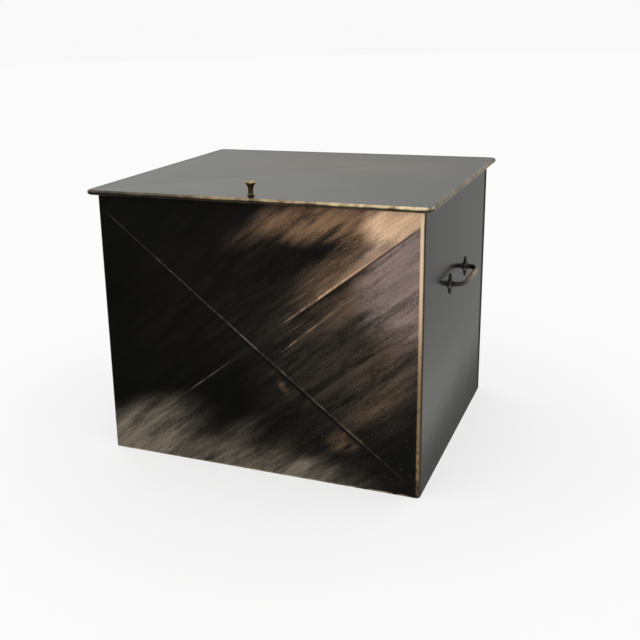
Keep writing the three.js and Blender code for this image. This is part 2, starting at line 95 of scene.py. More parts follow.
def plus(tree, first, second, clamp=False):
    return calc(tree, "ADD", first, second, clamp)


def minus(tree, first, second):
    return calc(tree, "SUBTRACT", first, second)


def larger(tree, first, second):
    return calc(tree, "MAXIMUM", first, second)


def swing(tree, value, middle, amount):  # how far a value lies off the middle, scaled
    return times(tree, minus(tree, value, middle), amount)


def fade(tree, value, low, high, toLow=0.0, toHigh=1.0):  # a smooth step from low to high
    made = add(tree, "MapRange", interpolation_type="SMOOTHSTEP", Value=value, From_Min=low,
               From_Max=high, To_Min=toLow, To_Max=toHigh)
    return made.outputs["Result"]


def blend(tree, amount, first, second):  # two colours
    return add(tree, "Mix", data_type="RGBA", i0=amount, i6=first, i7=second).outputs[2]


def between(tree, amount, first, second):  # two numbers
    return add(tree, "Mix", i0=amount, i2=first, i3=second).outputs[0]


def calcVector(tree, operation, first, second=(0, 0, 0)):
    return add(tree, "VectorMath", operation=operation, i0=first, i1=second).outputs[0]


def turnVector(tree, vector, axis, angle):
    made = add(tree, "VectorRotate", rotation_type="AXIS_ANGLE", Vector=vector, Axis=axis, Angle=angle)
    return made.outputs[0]


def parts(tree, vector):
    return add(tree, "SeparateXYZ", Vector=vector).outputs


def magnitude(tree, value):
    return calc(tree, "ABSOLUTE", value)


def noise(tree, vector, scale, detail, roughness=0.5):
    return add(tree, "TexNoise", Vector=vector, Scale=scale, Detail=detail, Roughness=roughness).outputs[0]


def newGroup(name, inputs, *outputs):  # inputs with their defaults, and the names of the outputs
    group = bpy.data.node_groups.new(name, "ShaderNodeTree")
    for label, value in inputs.items():
        kind = "NodeSocketVector" if isinstance(value, tuple) else "NodeSocketFloat"
        group.interface.new_socket(name=label, in_out="INPUT", socket_type=kind).default_value = value
    for label in outputs:
        group.interface.new_socket(name=label, in_out="OUTPUT", socket_type="NodeSocketFloat")
    entry = group.nodes.new("NodeGroupInput").outputs
    leave = group.nodes.new("NodeGroupOutput").inputs
    return group, entry, leave


def fill(tree, node, **values):  # inputs by name
    for key, value in values.items():
        feed(tree, node.inputs[key.replace("_", " ")], value)


def use(tree, group, **values):
    made = tree.nodes.new("ShaderNodeGroup")
    made.node_tree = group
    fill(tree, made, **values)
    return made.outputs


def patchGroup():  # a soft oval spot on a panel
    group, entry, leave = newGroup(
        "soft patch", {"Vector": (0, 0, 0), "Centre": (0, 0, 0), "Axis": (0, 1, 0), "Turn": 0.0,
                       "Half Size": (0.1, 0.1, 0.1)}, "Mask")
    moved = calcVector(group, "SUBTRACT", entry["Vector"], entry["Centre"])
    turned = turnVector(group, moved, entry["Axis"], entry["Turn"])
    scaled = calcVector(group, "DIVIDE", turned, entry["Half Size"])
    reach = add(group, "VectorMath", operation="LENGTH", i0=scaled)
    group.links.new(fade(group, reach.outputs["Value"], 1.0, 0.1), leave["Mask"])
    return group


def streakGroup():  # streaks left by rubbing in one direction, fine and coarse
    group, entry, leave = newGroup(
        "rubbing streaks", {"Vector": (0, 0, 0), "Axis": (0, 1, 0), "Turn": 0.0, "Along": 14.0,
                            "Across": 330.0}, "Fine", "Coarse")
    turned = turnVector(group, entry["Vector"], entry["Axis"], entry["Turn"])
    stretch = add(group, "CombineXYZ", X=entry["Along"], Y=entry["Across"], Z=entry["Across"])
    scaled = calcVector(group, "MULTIPLY", turned, stretch.outputs[0])
    fine = noise(group, scaled, 1.0, 5.0, 0.62)
    wide = calcVector(group, "MULTIPLY", scaled, (0.75, 0.26, 0.26))
    coarse = add(group, "TexNoise", Vector=wide, Scale=1.0, Detail=4.0, Roughness=0.6, Distortion=0.35)
    group.links.new(fade(group, fine, 0.32, 0.72), leave["Fine"])
    group.links.new(fade(group, coarse.outputs[0], 0.26, 0.74), leave["Coarse"])
    return group


def lineGroup():  # a rubbed line along an edge, broken up by noise
    group, entry, leave = newGroup(
        "rubbed line", {"Value": 0.0, "Edge": 0.0, "Width": 0.002, "Vector": (0, 0, 0), "Breaks": 0.3},
        "Mask")
    away = magnitude(group, minus(group, entry["Value"], entry["Edge"]))
    band = fade(group, calc(group, "DIVIDE", away, entry["Width"]), 1.0, 0.35)
    grain = noise(group, entry["Vector"], 60.0, 5.0, 0.65)
    worn = fade(group, minus(group, grain, entry["Breaks"]), 0.0, 0.25)
    group.links.new(times(group, band, worn), leave["Mask"])
    return group


def skinGroup():  # the unevenness of brushed and wiped lacquer
    group, entry, leave = newGroup(
        "lacquer skin", {"Vector": (0, 0, 0), "Roughness": 0.2, "Spread": 0.12}, "Roughness", "Height")
    uneven = swing(group, noise(group, entry["Vector"], 11.0, 4.0, 0.55), 0.5, entry["Spread"])
    group.links.new(plus(group, entry["Roughness"], uneven, clamp=True), leave["Roughness"])
    group.links.new(noise(group, entry["Vector"], 420.0, 2.0), leave["Height"])
    return group


softPatch = patchGroup()
rubbingStreaks = streakGroup()
rubbedLine = lineGroup()
lacquerSkin = skinGroup()


def newMaterial(name, specular=0.5):
    material = bpy.data.materials.new(name)
    material.use_nodes = True
    tree = material.node_tree
    shader = tree.nodes["Principled BSDF"]
    shader.inputs["Specular IOR Level"].default_value = specular
    where = add(tree, "TexCoord").outputs["Object"]
    return material, tree, shader, where


def skinOf(tree, where, roughness, spread):
    return use(tree, lacquerSkin, Vector=where, Roughness=roughness, Spread=spread)


def streaksOf(tree, where, axis, turn, along, across):
    return use(tree, rubbingStreaks, Vector=where, Axis=axis, Turn=radians(turn), Along=along, Across=across)


def finishMaterial(tree, shader, height, bump, **values):  # bump: strength and distance
    made = add(tree, "Bump", Height=height, Strength=bump[0], Distance=bump[1])
    fill(tree, shader, Normal=made.outputs[0], **values)


print("node groups ready")

# Finishes
black = (0.0055, 0.0052, 0.0042, 1)
brass = (0.78, 0.58, 0.31, 1)

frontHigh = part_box("front_panel")[1]
creaseField = {"side": 16 * mm, "bottom": 17 * mm, "top": 31 * mm}  # how far inside the front its creases end
creaseX, creaseTop = frontHigh.x - creaseField["side"], frontHigh.z - creaseField["top"]
creaseLow = creaseField["bottom"]
deep = 10  # a half size that takes in a sheet's whole depth

frontLook = {
    "specular": 0.3,
    "skin": (0.34, 0.15),  # roughness, and how uneven it is
    "rubbing": (39, 18.0, 150.0),  # degrees above the level, then streaks to a metre along and across
    "speckle": (620.0, 3.0, 0.7),  # noise: scale, detail and roughness
    "bump": (0.1, 0.3 * mm),  # strength and distance
    "dark": (0.0036, 0.0034, 0.0026, 1),
    "uneven": (1.5, 1.0, 1.6),  # the mists: coarse and fine along the rubbing, and by the speckle
    "tone": (0.4, 1.1),  # how far the tone itself varies: fine along the rubbing, and by the speckle
    # Where the lacquer is rubbed thin, with a painted sheen and a painted highlight among them. Each mist:
    # colour, how far the rubbing breaks it up, and patches, by x and z of the middle, half length, half
    # width, turn, amount
    "mists": {
        "olive": ((0.033, 0.025, 0.017, 1), 0.8, {
            "right half": (0.136, 0.17, 0.185, 0.125, 39, 0.9),
            "foot": (-0.02, 0.008, 0.24, 0.06, 0, 0.9),
            "middle": (0.01, 0.195, 0.11, 0.045, 39, 0.2),
            "upper left": (-0.04, 0.23, 0.18, 0.13, 39, 0.1),
        }),
        "copper": ((0.27, 0.155, 0.084, 1), 1.0, {
            "top edge": (0.112, 0.316, 0.125, 0.036, 6, 1.05),
            "top middle": (0.02, 0.3, 0.07, 0.03, 24, 0.11),
            "over the crease": (0.112, 0.266, 0.095, 0.034, 39, 0.33),
            "under the crease": (0.12, 0.226, 0.1, 0.024, 39, 0.17),
            "right middle": (0.166, 0.17, 0.09, 0.04, 52, 0.14),
            "low right": (0.15, 0.105, 0.075, 0.022, 39, 0.16),
            "low middle": (0.11, 0.055, 0.028, 0.018, 14, 0.3),
            "beside the middle": (0.037, 0.114, 0.013, 0.007, -50, 0.26),
        }),
        # a painted sheen: a broad light's reflection down the right side
        "painted sheen": ((0.225, 0.162, 0.143, 1), 0.7, {
            "right side": (0.19, 0.254, 0.098, 0.08, 68, 1.42),
            "right low": (0.19, 0.18, 0.08, 0.03, 74, 0.1),
        }),
        "dust": ((0.15, 0.125, 0.092, 1), 0.7, {
            "left corner": (-0.174, 0.016, 0.145, 0.054, 28, 0.82),
            "left foot": (-0.11, 0.004, 0.14, 0.04, 4, 0.42),
            "foot": (0.04, 0.006, 0.13, 0.032, 0, 0.58),
            "foot fleck": (0.052, 0.01, 0.03, 0.014, 50, 0.7),
            "lower middle": (-0.03, 0.036, 0.075, 0.022, 39, 0.26),
        }),
        # a painted highlight: the light's reflection on the top right corner
        "painted highlight": ((0.9, 0.6, 0.38, 1), 0.5, {
            "corner": (0.18, 0.318, 0.06, 0.034, 12, 1.7),
            "corner tail": (0.16, 0.292, 0.05, 0.01, 38, 0.36),
        }),
    },
    "highlightEdge": (-1.5 * mm, 3.5 * mm),  # over the rising crease, where the painted highlight ends
    # Each crease by the x and z of its ends. Marks beside them: which crease, how far above it, half width,
    # where along x they fade in and out, amount, colour
    "creases": {"falling": ((-creaseX, creaseTop), (creaseX, creaseLow)),
                "rising": ((-creaseX, creaseLow), (creaseX, creaseTop)),
                "second": ((0.025, 0.148), (0.192, 0.29))},
    # The dark and umber marks are painted shadow below each pressed ridge; the paler ones are painted
    # highlight along its lit side, where it is also rubbed
    "marks": {
        "falling shade": ("falling", -0.0022, 0.0032, (-0.06, 0.03), (0.182, 0.17), 0.92, "dark"),
        "falling light": ("falling", 0.0006, 0.0011, (-0.2, -0.16), (0.04, 0.0), 0.22, "bronze"),
        "falling low": ("falling", 0.001, 0.0012, (-0.05, 0.0), (0.172, 0.12), 0.36, "bronze"),
        "rising band": ("rising", 0.0042, 0.006, (0.03, 0.12), (0.17, 0.12), 0.3, "copper"),
        "rising shade": ("rising", -0.002, 0.002, (0.0, 0.05), (0.15, 0.1), 0.92, "dark"),
        "rising umber shade": ("rising", -0.001, 0.0016, (0.09, 0.14), (0.198, 0.184), 0.85, "umber"),
        "rising light": ("rising", 0.0012, 0.0016, (0.03, 0.08), (0.18, 0.12), 0.85, "copper"),
        "rising faint": ("rising", 0.0006, 0.0011, (-0.16, -0.12), (-0.01, -0.07), 0.34, "bronze"),
        "second light": ("second", 0.0, 0.0015, (0.02, 0.05), (0.12, 0.08), 0.3, "copper"),
    },
    "dashes": (52, 2.0),  # how finely the light marks are broken up
    # Fine scratches beside the rising crease: how far out, x where they fade in and out, amount, rubbing
    "hairs": (0.042, (0.01, 0.08), (0.165, 0.125), 0.7, (37, 15.0, 400.0)),
    "markColours": {"dark": (0.004, 0.0034, 0.0024, 1), "umber": (0.07, 0.032, 0.024, 1),
                    "bronze": (0.2, 0.15, 0.1, 1), "copper": (0.52, 0.33, 0.2, 1)},
    "flecks": ((-0.05, 0.15), (0.4, 0.34, 0.29, 1)),  # of dust: where they fade in along x, colour
    "cornerLine": (frontHigh.x - 2.7 * mm, 2.3 * mm),  # place along x and half width
    "cornerGaps": (0.02, 0.24, 0.32, 0.12),  # between these heights, from more to less broken
    "cornerFade": (0.12, 0.27),  # and between these, from dull to bright
    "cornerColours": ((0.26, 0.175, 0.078, 1), (0.92, 0.68, 0.45, 1)),
    "footLine": (0.0024, 0.4, (0.3, 0.23, 0.13, 1)),  # width, how broken, colour
    "bend": (frontHigh.x - 1.1 * mm, frontHigh.x - 0.5 * mm),  # past it the lacquer is whole
    "bendColour": (0.05, 0.026, 0.012, 1),
}


def mist(tree, where, patches, uneven):  # soft patches, broken up along the way of the rubbing
    zone = None
    for px, pz, length, width, angle, amount in patches.values():
        spot = use(tree, softPatch, Vector=where, Centre=(px, 0, pz), Turn=radians(angle),
                   Half_Size=(length, deep, width))["Mask"]
        spot = times(tree, spot, amount)
        zone = spot if zone is None else plus(tree, zone, spot)
    return times(tree, zone, uneven, clamp=True)


def above(tree, x, z, crease):  # distance above a crease
    start, end = Vector(crease[0]), Vector(crease[1])
    along = (end - start).normalized()
    return plus(tree, times(tree, minus(tree, x, start.x), -along.y),
                times(tree, minus(tree, z, start.y), along.x))


def footLine(tree, where, z, colour, width, broken, tint):  # worn along the foot
    worn = use(tree, rubbedLine, Value=z, Width=width, Vector=where, Breaks=broken)["Mask"]
    return blend(tree, worn, colour, tint)


def frontMaterial(look):
    material, tree, shader, where = newMaterial("front lacquer", look["specular"])
    place = parts(tree, where)
    x, z = place["X"], place["Z"]
    streaks = streaksOf(tree, where, (0, 1, 0), *look["rubbing"])
    speck = noise(tree, where, *look["speckle"])
    coarse, fine, bySpeck = look["uneven"]
    rubbing = plus(tree, swing(tree, streaks["Coarse"], 0.45, coarse), 1.0)
    rubbing = plus(tree, rubbing, swing(tree, streaks["Fine"], 0.5, fine))
    rubbing = larger(tree, plus(tree, rubbing, swing(tree, speck, 0.5, bySpeck)), 0.1)
    aboveRising = above(tree, x, z, look["creases"]["rising"])
    colour, metalShowing = look["dark"], None
    for name, (tint, broken, patches) in look["mists"].items():
        uneven = plus(tree, times(tree, rubbing, broken), 1 - broken)
        amount = mist(tree, where, patches, uneven)
        if name == "painted highlight":  # the painted highlight ends at the crease
            amount = times(tree, amount, fade(tree, aboveRising, *look["highlightEdge"]))
        colour = blend(tree, amount, colour, tint)
        # rubbed copper and the painted highlight both show as bare metal
        if name in ("copper", "painted highlight"):
            metalShowing = amount if metalShowing is None else larger(tree, metalShowing, amount)
    fine, bySpeck = look["tone"]
    tone = plus(tree, swing(tree, streaks["Fine"], 0.5, fine), swing(tree, speck, 0.5, bySpeck))
    colour = add(tree, "VectorMath", operation="SCALE", i0=colour, Scale=plus(tree, tone, 1.0)).outputs[0]
    span, tint = look["flecks"]
    dust = times(tree, fade(tree, speck, 0.66, 0.76, 0.0, 0.5), fade(tree, x, *span))
    colour = blend(tree, dust, colour, tint)

    dashes = noise(tree, where, *look["dashes"])
    breaks = times(tree, fade(tree, streaks["Fine"], 0.0, 0.6, 0.35, 1.0),
                   fade(tree, dashes, 0.4, 0.56, 0.25, 1.3))
    # painted shadow and painted highlight beside the creases
    for crease, rise, width, begin, end, strength, tint in look["marks"].values():
        away = minus(tree, above(tree, x, z, look["creases"][crease]), rise)
        mark = times(tree, fade(tree, magnitude(tree, away), width, 0.2 * width), strength)
        mark = times(tree, mark, times(tree, fade(tree, x, *begin), fade(tree, x, *end)))
        if tint in ("bronze", "copper"):
            mark = times(tree, mark, breaks)
        colour = blend(tree, mark, colour, look["markColours"][tint])

    reach, begin, end, strength, wiping = look["hairs"]
    hairs = streaksOf(tree, where, (0, 1, 0), *wiping)
    beside = times(tree, fade(tree, magnitude(tree, aboveRising), reach, 0.1 * reach),
                   times(tree, fade(tree, x, *begin), fade(tree, x, *end)))
    hair = times(tree, fade(tree, hairs["Fine"], 0.66, 0.98, 0.0, strength), beside)
    colour = blend(tree, hair, colour, look["markColours"]["bronze"])

    colour = footLine(tree, where, z, colour, *look["footLine"])
    edge, width = look["cornerLine"]
    gaps = fade(tree, z, *look["cornerGaps"])
    corner = use(tree, rubbedLine, Value=x, Edge=edge, Width=width, Vector=where, Breaks=gaps)["Mask"]
    gold = blend(tree, fade(tree, z, *look["cornerFade"]), *look["cornerColours"])
    colour = blend(tree, corner, colour, gold)
    bent = fade(tree, x, *look["bend"])
    colour = blend(tree, bent, colour, look["bendColour"])

    skin = skinOf(tree, where, *look["skin"])
    rough = plus(tree, skin["Roughness"], times(tree, metalShowing, 0.12), clamp=True)
    rough = larger(tree, rough, times(tree, bent, 0.75))
    metal = larger(tree, times(tree, metalShowing, 0.35), times(tree, corner, 0.4))
    finishMaterial(tree, shader, plus(tree, streaks["Fine"], skin["Height"]), look["bump"],
                   Base_Color=colour, Roughness=rough, Metallic=metal)
    return material


wallLook = {
    "specular": 0.26,
    "skin": (0.17, 0.1),
    "wiping": (80, 9.0, 160.0),
    "bump": (0.05, 0.2 * mm),
    "haze": (0.35, (0.016, 0.0125, 0.009, 1)),  # amount and colour
    "lowDull": (0.12, 0.33),  # up to this height, and by how much
    "rearDull": (0.024, 0.7),  # this far in from the rear edge, and by how much
    "footLine": (0.0022, 0.46, (0.22, 0.15, 0.08, 1)),
}


def wallMaterial(look):
    material, tree, shader, where = newMaterial("wall lacquer", look["specular"])
    place = parts(tree, where)
    y, z = place["Y"], place["Z"]
    streaks = streaksOf(tree, where, (1, 0, 0), *look["wiping"])
    amount, tint = look["haze"]
    colour = blend(tree, times(tree, streaks["Coarse"], amount), black, tint)
    colour = footLine(tree, where, z, colour, *look["footLine"])
    height, lowDull = look["lowDull"]
    width, rearDull = look["rearDull"]
    rear = use(tree, rubbedLine, Value=magnitude(tree, y), Edge=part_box("back_panel")[1].y, Width=width,
               Vector=where, Breaks=0.0)["Mask"]
    rear = times(tree, rear, fade(tree, y, 0.0, 0.1))
    dull = larger(tree, times(tree, fade(tree, z, height, 0.0), lowDull), times(tree, rear, rearDull))
    skin = skinOf(tree, where, *look["skin"])
    rough = plus(tree, skin["Roughness"], dull, clamp=True)
    finishMaterial(tree, shader, skin["Height"], look["bump"], Base_Color=colour, Roughness=rough)
    return material


lidLook = {
    "specular": 0.32,
    "skin": (0.16, 0.1),
    "wiping": (-35, 11.0, 260.0),
    "bump": (0.05, 0.2 * mm),
    "haze": (0.5, (0.03, 0.022, 0.015, 1)),
    "cloud": ((0.04, 0.06), (0.19, 0.11), (0.085, 0.04, 0.012, 1)),  # a warm one: middle, half size, colour
    "crease": (0.0022, 0.5, (0.06, 0.044, 0.028, 1)),  # a painted highlight along the ridges: half width, amount, colour
    "frontBand": (14.5 * mm, 6.5 * mm),  # what counts as front, in from the lid's front edge
    "rim": (-3.6 * mm, -1.2 * mm),  # where its wear fades in, from the outline
    "ragged": 5 * mm,
    "rimCloud": (30.0, 5.0, 0.6),  # noise
    "rimGrain": (160.0, 4.0, 0.6),
    "sideShare": 0.38,  # how much of the rim is worn at the sides and the back
    "frontShare": (-0.21, 0.2, 0.1, 1.0),  # at the front, between these x, from little to all
    "bright": ((0.02, 0.2), (0.9, 0.73, 0.44, 1)),  # paler brass at the front, rubbed and with a painted highlight to the right: where it comes in along x, colour
    "blotches": ((75.0, 3.0, 0.55), 0.65, (0.3, 0.15, 0.065, 1)),  # noise, amount, colour
}


def rimWearAndShade(tree, where, front):
    place = parts(tree, where)
    x, y, z = place["X"], place["Y"], place["Z"]
    low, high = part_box("lid_panel")
    edge = larger(tree, minus(tree, magnitude(tree, x), high.x), minus(tree, magnitude(tree, y), high.y))
    cloud = noise(tree, where, *lidLook["rimCloud"])
    grain = noise(tree, where, *lidLook["rimGrain"])
    rim = fade(tree, plus(tree, edge, swing(tree, cloud, 0.5, lidLook["ragged"])), *lidLook["rim"])
    amount = between(tree, front, lidLook["sideShare"], fade(tree, x, *lidLook["frontShare"]))
    patchy = times(tree, fade(tree, cloud, 0.34, 0.6, 0.45, 1.0), fade(tree, grain, 0.3, 0.6, 0.75, 1.0))
    turn = plus(tree, z, swing(tree, cloud, 0.5, 0.006))
    # less brass on the rim's lower half, most at the front: painted shade where it faces down
    under = between(tree, front, fade(tree, turn, low.z, low.z + 3 * mm, 0.35, 1.0),
                    fade(tree, turn, low.z + 3.4 * mm, low.z + 5.2 * mm, 0.05, 1.0))
    return times(tree, times(tree, rim, under), times(tree, amount, patchy))


def lidMaterial(look):
    material, tree, shader, where = newMaterial("lid lacquer", look["specular"])
    place = parts(tree, where)
    x, y = place["X"], place["Y"]
    streaks = streaksOf(tree, where, (0, 0, 1), *look["wiping"])
    amount, tint = look["haze"]
    colour = blend(tree, times(tree, streaks["Coarse"], amount), black, tint)
    low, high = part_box("lid_panel")
    middle, half, tint = look["cloud"]
    warm = use(tree, softPatch, Vector=where, Axis=(0, 0, 1), Centre=(*middle, high.z),
               Half_Size=(*half, deep))["Mask"]
    warm = times(tree, warm, fade(tree, streaks["Coarse"], 0.1, 0.9, 0.5, 1.0))
    colour = blend(tree, warm, colour, tint)
    steep = high.y / high.x  # of the creases, seen from above
    astray = minus(tree, times(tree, magnitude(tree, x), steep), magnitude(tree, y))
    # a painted highlight along the lid's ridges
    width, amount, tint = look["crease"]
    crease = fade(tree, magnitude(tree, astray), width, 0.0006, 0.0, amount)
    colour = blend(tree, crease, colour, tint)
    front = fade(tree, y, *(low.y + inset for inset in look["frontBand"]))
    rimRubAndShade = rimWearAndShade(tree, where, front)
    span, brightBrass = look["bright"]
    # the front rim's brass grows paler to the right: wear with a painted highlight
    bright = times(tree, front, fade(tree, x, *span))
    spots, amount, tint = look["blotches"]
    worn = blend(tree, fade(tree, noise(tree, where, *spots), 0.44, 0.64, 0.0, amount),
                 blend(tree, bright, brass, brightBrass), tint)
    colour = blend(tree, rimRubAndShade, colour, worn)
    skin = skinOf(tree, where, *look["skin"])
    rough = plus(tree, skin["Roughness"], times(tree, rimRubAndShade, 0.12), clamp=True)
    metal = times(tree, rimRubAndShade, fade(tree, bright, 0.0, 1.0, 1.0, 0.45))
    finishMaterial(tree, shader, skin["Height"], look["bump"], Base_Color=colour, Roughness=rough,
                   Metallic=metal)
    return material


insideLook = {
    "specular": 0.35,
    "skin": (0.55, 0.25),
    "bump": (0.2, 0.3 * mm),
    "dust": (34.0, 6.0, 0.7),  # noise
    "colours": ((0.013, 0.0125, 0.0115, 1), (0.029, 0.0265, 0.023, 1)),  # clean and dusty
}


def insideMaterial(look):
    material, tree, shader, where = newMaterial("inside black", look["specular"])
    skin = skinOf(tree, where, *look["skin"])
    dust = fade(tree, noise(tree, where, *look["dust"]), 0.42, 0.72)
    finishMaterial(tree, shader, skin["Height"], look["bump"], Roughness=skin["Roughness"],
                   Base_Color=blend(tree, dust, *look["colours"]))
    return material


fittings = {
    "skin": (0.34, 0.2),  # of the lacquered ones
    "lacquerBump": (0.15, 0.3 * mm),
    "metalBump": (0.1, 0.2 * mm),
    "metalShowing": (120.0, 5.0, 0.65),  # noise
    "tarnish": (150.0, 5.0, 0.65),
    "lacquer": (0.01, 0.009, 0.007, 1),
    "rubbed": (0.56, 0.38, 0.19, 1),
    "handleWear": 0.6,  # the higher, the less of the lacquer is rubbed through
    "hingeWear": 0.64,
    # bare metals: clean, tarnished, skin
    "rivet brass": ((0.5, 0.36, 0.18, 1), (0.1, 0.07, 0.04, 1), (0.34, 0.2)),
    "knob brass": ((0.66, 0.48, 0.24, 1), (0.075, 0.052, 0.027, 1), (0.32, 0.2)),
    "plain steel": ((0.42, 0.42, 0.41, 1), (0.2, 0.19, 0.18, 1), (0.36, 0.2)),
    "knobDarkening": (7 * mm, 12.5 * mm),  # dark up to the first height over the knob's foot, plain brass at the second
}


def ironMaterial(name, rubbed, grip=False):  # dark lacquer over brass, rubbed through in places
    material, tree, shader, where = newMaterial(name)
    skin = skinOf(tree, where, *fittings["skin"])
    grain = noise(tree, where, *fittings["metalShowing"])
    worn = fade(tree, grain, rubbed, rubbed + 0.14)
    if grip:  # and where the hand takes hold, with a painted highlight on the bar's outer rear bend
        place = parts(tree, where)
        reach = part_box("right_handle_grip")[1].x
        heldAndLit = fade(tree, magnitude(tree, place["X"]), reach - 6.5 * mm, reach - 1 * mm)
        heldAndLit = times(tree, heldAndLit, fade(tree, place["Y"], -0.03, 0.022, 0.1, 1.0))
        heldAndLit = times(tree, heldAndLit, fade(tree, grain, 0.3, 0.55, 0.3, 1.0))
        worn = larger(tree, worn, heldAndLit)
    finishMaterial(tree, shader, skin["Height"], fittings["lacquerBump"], Roughness=skin["Roughness"],
                   Base_Color=blend(tree, worn, fittings["lacquer"], fittings["rubbed"]),
                   Metallic=times(tree, worn, 0.9))
    return material


def metalMaterial(name, darkening=None):  # darkening: darker towards the bottom, plain above
    colour, tarnish, unevenness = fittings[name]
    material, tree, shader, where = newMaterial(name)
    skin = skinOf(tree, where, *unevenness)
    tarnishAndDarkening = fade(tree, noise(tree, where, *fittings["tarnish"]), 0.36, 0.62)
    if darkening:
        below = fade(tree, parts(tree, where)["Z"], darkening[1], darkening[0], 0.0, 0.92)
        tarnishAndDarkening = larger(tree, tarnishAndDarkening, below)
    finishMaterial(tree, shader, skin["Height"], fittings["metalBump"], Roughness=skin["Roughness"],
                   Base_Color=blend(tree, tarnishAndDarkening, colour, tarnish), Metallic=1.0)
    return material


frontLacquer = frontMaterial(frontLook)
wallLacquer = wallMaterial(wallLook)
lidLacquer = lidMaterial(lidLook)
insideBlack = insideMaterial(insideLook)
handleBlack = ironMaterial("handle black", fittings["handleWear"])
gripBlack = ironMaterial("grip black", fittings["handleWear"], grip=True)
hingeBlack = ironMaterial("hinge black", fittings["hingeWear"])
rivetBrass = metalMaterial("rivet brass")
knobBrass = metalMaterial("knob brass", [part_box("knob")[0].z + height for height in fittings["knobDarkening"]])
plainSteel = metalMaterial("plain steel")
print("materials ready")


# Mesh tools
def pick(form, *keys):
    return [form[key] for key in keys]


weld = 0.002 * mm  # points nearer than this are joined
touch = 0.01 * mm  # how near counts as lying on a plane


def moveVerts(bm, verts, *step):
    bmesh.ops.translate(bm, verts=verts, vec=Vector(step))


def turnVerts(bm, verts, axis, angle, centre=(0, 0, 0)):
    bmesh.ops.rotate(bm, verts=verts, cent=centre, matrix=Matrix.Rotation(angle, 3, axis))


def vertsOf(items):
    return list({vert for item in items for vert in item.verts})


def only(kind, geom):
    return [item for item in geom if isinstance(item, kind)]


def extrudeEdges(bm, edges, *step):
    made = bmesh.ops.extrude_edge_only(bm, edges=edges)["geom"]
    moveVerts(bm, only(bmesh.types.BMVert, made), *step)
    return only(bmesh.types.BMEdge, made)


def edgesWhere(bm, test):
    return [edge for edge in bm.edges if all(test(vert.co) for vert in edge.verts)]


def bend(bm, edges, centre, axis, angle, steps):
    made = bmesh.ops.spin(bm, geom=edges + vertsOf(edges), cent=centre, axis=axis, angle=radians(angle),
                          steps=steps, use_duplicate=False)
    return only(bmesh.types.BMEdge, made["geom_last"])


def roundOff(bm, geom, width, segments, affect="EDGES", clamp=False):
    bmesh.ops.bevel(bm, geom=geom, offset=width, segments=segments, profile=0.5, affect=affect,
                    clamp_overlap=clamp, material=-1)


def softenEdges(bm, width, above=60):  # those that turn by more degrees than this
    sharp = [edge for edge in bm.edges if edge.calc_face_angle(0) > radians(above)]
    roundOff(bm, sharp, width, 2, clamp=True)


def plate(bm, width, height):  # a flat sheet face up, in the middle of the drawing
    spread = Matrix.Diagonal((width, height, 1, 1))
    bmesh.ops.create_grid(bm, x_segments=1, y_segments=1, size=0.5, matrix=spread)


def thicken(bm, thickness):  # the drawn faces stay outside, and the new ones get the second material
    outside = set(bm.faces)
    bmesh.ops.solidify(bm, geom=bm.faces[:], thickness=thickness)
    for face in bm.faces:
        face.material_index = 0 if face in outside else 1


def finishPiece(bm, name, body, nodes, materials, sharp):  # sharp: in degrees
    bmesh.ops.remove_doubles(bm, verts=bm.verts, dist=weld)
    for face in bm.faces:
        face.smooth = True
    mesh = bpy.data.meshes.new(name)
    bm.to_mesh(mesh)
    bm.free()
    mesh.set_sharp_from_angle(angle=radians(sharp))
    for material in materials:
        mesh.materials.append(material)
    piece = bpy.data.objects.new(name, mesh)
    even = piece.modifiers.new("even normals", "WEIGHTED_NORMAL")  # narrow faces don't tilt the wide ones
    even.keep_sharp = True
    even.weight = 100
    scene.collection.objects.link(piece)
    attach(piece, body)
    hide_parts(*nodes)


# Cross-broken sheet: a shallow pyramid whose four edges are narrow pressed ridges
creases = {
    "rise": 2.5 * mm,
    "ridgeWidth": 3.2 * mm,
    "runOut": 4 * mm,
    "crest": (0.8 * mm, 3),  # rounding of the ridge, and its steps
}


def cutAcross(bm, place, normal, test):
    faces = [face for face in bm.faces if test(face.calc_center_median())]
    edges = list({edge for face in faces for edge in face.edges})
    bmesh.ops.bisect_plane(bm, geom=faces + edges + vertsOf(faces), dist=0.001 * mm, plane_co=place,
                           plane_no=normal)


def crossBreak(bm, width, height, ridgeHeight, middle=0.0):
    halfX, halfY = width / 2, height / 2
    heart = Vector((0, middle, 0))

    def inField(point):
        return abs(point.x) < halfX and abs(point.y - middle) < halfY

    for direction, half in ((Vector((1, 0, 0)), halfX), (Vector((0, 1, 0)), halfY)):
        for way in (-1, 1):
            cutAcross(bm, heart + way * half * direction, direction, lambda point: True)
    field = [face for face in bm.faces if inField(face.calc_center_median())]
    bmesh.ops.poke(bm, faces=field, offset=creases["rise"])
    for way in (-1, 1):
        across = Vector((-way * halfY, halfX, 0)).normalized()
        for step in (-0.5, 0.5):
            cutAcross(bm, heart + step * creases["ridgeWidth"] * across, across, inField)
    for way in (-1, 1):
        reach = halfX - creases["runOut"]
        cutAcross(bm, heart + Vector((way * reach, 0, 0)), Vector((1, 0, 0)), inField)

    def onCrest(point):
        slope = abs(abs(point.x) * halfY - abs(point.y - middle) * halfX) / halfX
        return inField(point) and slope < 0.05 * mm

    crest = [vert for vert in bm.verts if onCrest(vert.co)]
    moveVerts(bm, crest, 0, 0, ridgeHeight)
    ridges = [edge for edge in bm.edges if edge.verts[0] in crest and edge.verts[1] in crest]
    roundOff(bm, ridges, *creases["crest"])


# Front and back walls: sheets that turn both corners, lap inside the sides and fold over at the top
wallSheet = {
    "thickness": 1.0 * mm,
    "bendRadius": 4.5 * mm,
    "bendSteps": 10,
    "land": 0.4 * mm,
    "joggle": (1.3 * mm, 1.0 * mm),  # inwards, and over this length
    "lap": 12 * mm,
    "hemRadius": 1.2 * mm,
    "hemHeight": 10 * mm,
    "hemSteps": 10,
    "ridgeHeight": 0.7 * mm,
    "cutEdge": 0.15 * mm,
}


